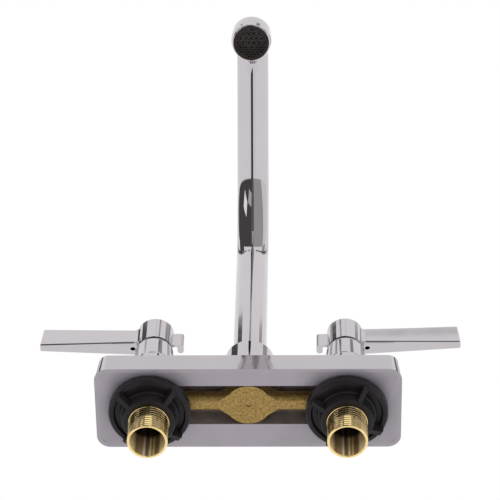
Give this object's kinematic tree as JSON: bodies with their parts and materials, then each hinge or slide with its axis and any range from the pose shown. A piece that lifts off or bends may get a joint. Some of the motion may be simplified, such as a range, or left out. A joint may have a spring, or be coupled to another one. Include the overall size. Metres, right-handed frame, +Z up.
{
  "type": "two-handle centreset faucet",
  "caption": "Chrome deck faucet with a tall angled swivel spout, lever handles turning ceramic valves, brass waterway, threaded inlet shanks and plastic mounting nuts.",
  "frame": {"origin": "on the deck plane, where the base's rim rests, midway between the axes of the two inlet shanks", "axes": "+Z up, away from the deck; +X along the line of the shanks, to the right as seen from the front; the spout reaches forward along -Y"},
  "size_m": [0.2246, 0.1488, 0.26],
  "materials": {
    "chrome_plate": "polished",
    "cast_brass": "as cast",
    "turned_brass": "turned",
    "black_plastic": "satin",
    "dark_plastic": "satin",
    "white_plastic": "satin",
    "seal_rubber": "matt",
    "ceramic": "lapped",
    "stainless_steel": "turned"
  },
  "bodies": {
    "base": {"base_body": "chrome_plate", "brass_manifold": "cast_brass", "left_inlet_shank": "turned_brass", "right_inlet_shank": "turned_brass", "left_bonnet_gasket": "seal_rubber", "right_bonnet_gasket": "seal_rubber", "left_bonnet": "chrome_plate", "right_bonnet": "chrome_plate", "left_seat_seal": "seal_rubber", "right_seat_seal": "seal_rubber", "left_fixed_disc": "ceramic", "right_fixed_disc": "ceramic", "left_cartridge_body": "turned_brass", "right_cartridge_body": "turned_brass", "spout_nut": "chrome_plate", "spout_thrust_washer": "white_plastic"},
    "left_handle": {"left_lever": "chrome_plate", "left_set_screw": "stainless_steel", "left_stem": "turned_brass", "left_stem_seal": "seal_rubber", "left_moving_disc": "ceramic"},
    "left_nut": {"left_mounting_nut": "black_plastic"},
    "right_handle": {"right_lever": "chrome_plate", "right_set_screw": "stainless_steel", "right_stem": "turned_brass", "right_stem_seal": "seal_rubber", "right_moving_disc": "ceramic"},
    "right_nut": {"right_mounting_nut": "black_plastic"},
    "spout": {"spout_tube": "chrome_plate", "spout_adapter": "turned_brass", "spout_seals": "seal_rubber", "aerator_housing": "chrome_plate", "aerator_gasket": "seal_rubber", "aerator_screen": "stainless_steel", "aerator_insert": "dark_plastic"}
  },
  "joints": [
    {"name": "left_handle_turn", "type": "hinge", "parent": "base", "child": "left_handle", "pos_m": [-0.0508, 0, 0.05], "axis": [0, 0, 1], "range_deg": [0, 90]},
    {"name": "right_handle_turn", "type": "hinge", "parent": "base", "child": "right_handle", "pos_m": [0.0508, 0, 0.05], "axis": [0, 0, 1], "range_deg": [-90, 0]},
    {"name": "spout_swivel", "type": "hinge", "parent": "base", "child": "spout", "pos_m": [0, 0, 0.04], "axis": [0, 0, 1], "continuous": true},
    {"name": "left_nut_run", "type": "slide", "parent": "base", "child": "left_nut", "axis": [0, 0, -1], "range_m": [0, 0.012]},
    {"name": "right_nut_run", "type": "slide", "parent": "base", "child": "right_nut", "axis": [0, 0, -1], "range_m": [0, 0.012]}
  ]
}
